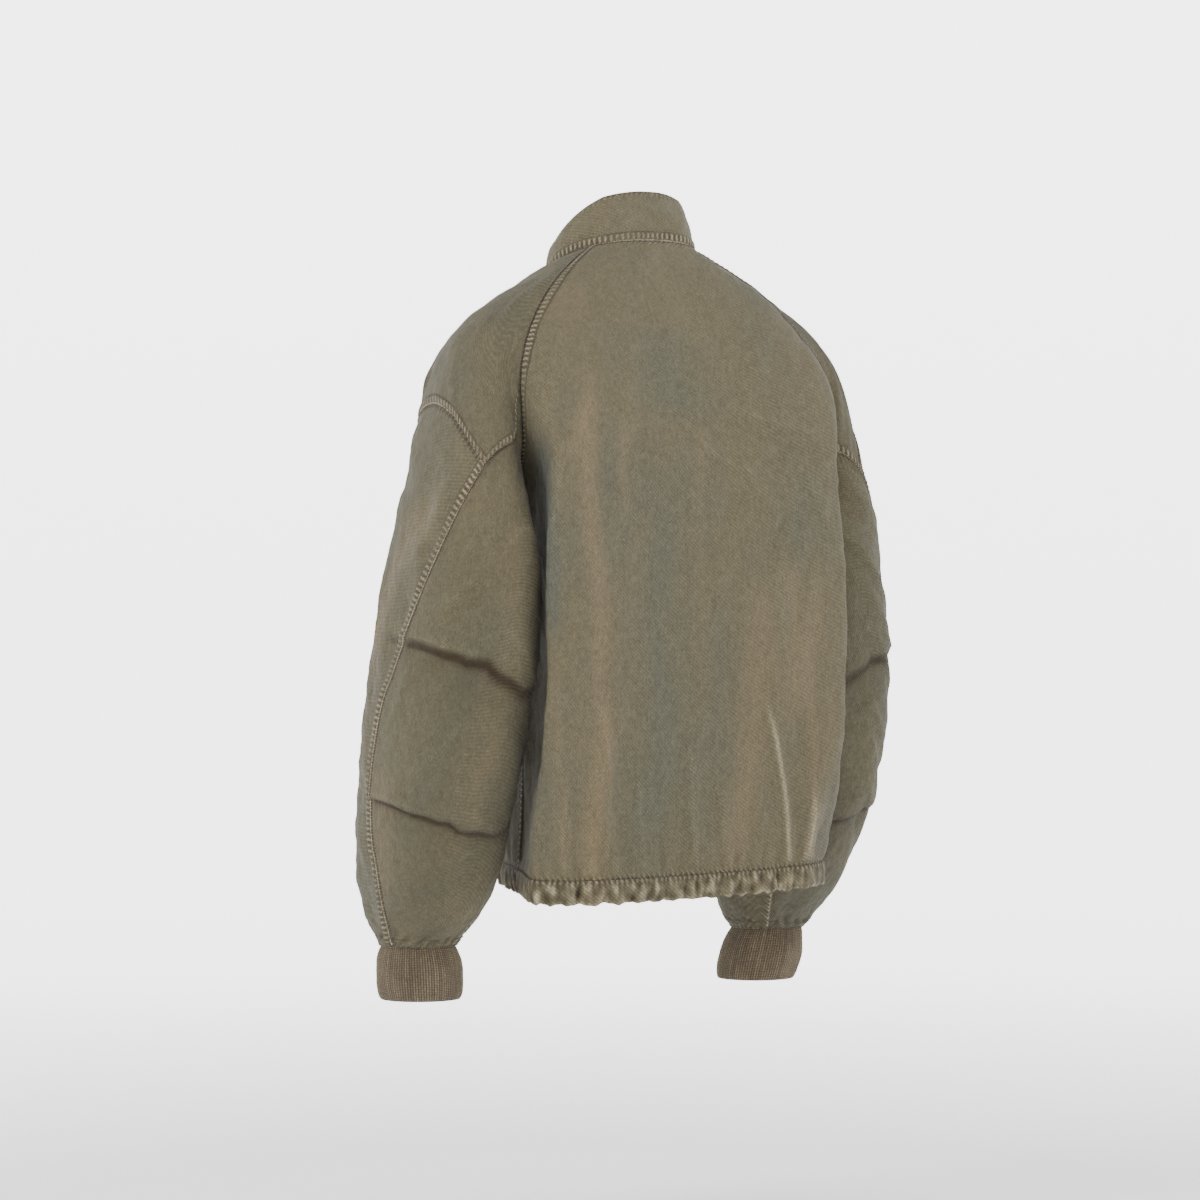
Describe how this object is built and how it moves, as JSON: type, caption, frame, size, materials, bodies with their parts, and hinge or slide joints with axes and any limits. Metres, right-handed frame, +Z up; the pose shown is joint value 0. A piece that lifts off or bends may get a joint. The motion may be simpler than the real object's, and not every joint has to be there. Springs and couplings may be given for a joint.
{
  "type": "work jacket",
  "caption": "Boxy cotton-twill blouson with raglan saddle shoulders, tucked two-piece sleeves, knit cuffs, stand collar, zip front and drawn-in hem.",
  "frame": {"origin": "middle of the neck opening, level with the neck seam, where the wearer holds the jacket up", "axes": "+Z up, the wearer faces -Y, and the wearer's left arm is at +X"},
  "size_m": [0.5624, 0.2712, 0.7963],
  "materials": {
    "twill": "washed cotton twill",
    "rib knit": "rib knit",
    "zip tape": "woven tape",
    "zip metal": "antique"
  },
  "bodies": {
    "jacket": {"back": "twill", "front_left": "twill", "front_right": "twill", "collar": "twill", "shoulder_left": "twill", "shoulder_right": "twill", "back_sleeve_left": "twill", "back_sleeve_right": "twill", "outer_sleeve_left": "twill", "outer_sleeve_right": "twill", "cuff_left": "rib knit", "cuff_right": "rib knit", "hem_casing": "twill", "zip_tape_left": "zip tape", "zip_tape_right": "zip tape", "zip_slider": "zip metal"},
    "pull": {"zip_pull": "zip metal"}
  },
  "joints": [
    {"name": "pull_hinge", "type": "hinge", "parent": "jacket", "child": "pull", "pos_m": [-0.00079, -0.07097, -0.0336], "axis": [-1, 0, 0], "range_deg": [0, 90]}
  ]
}
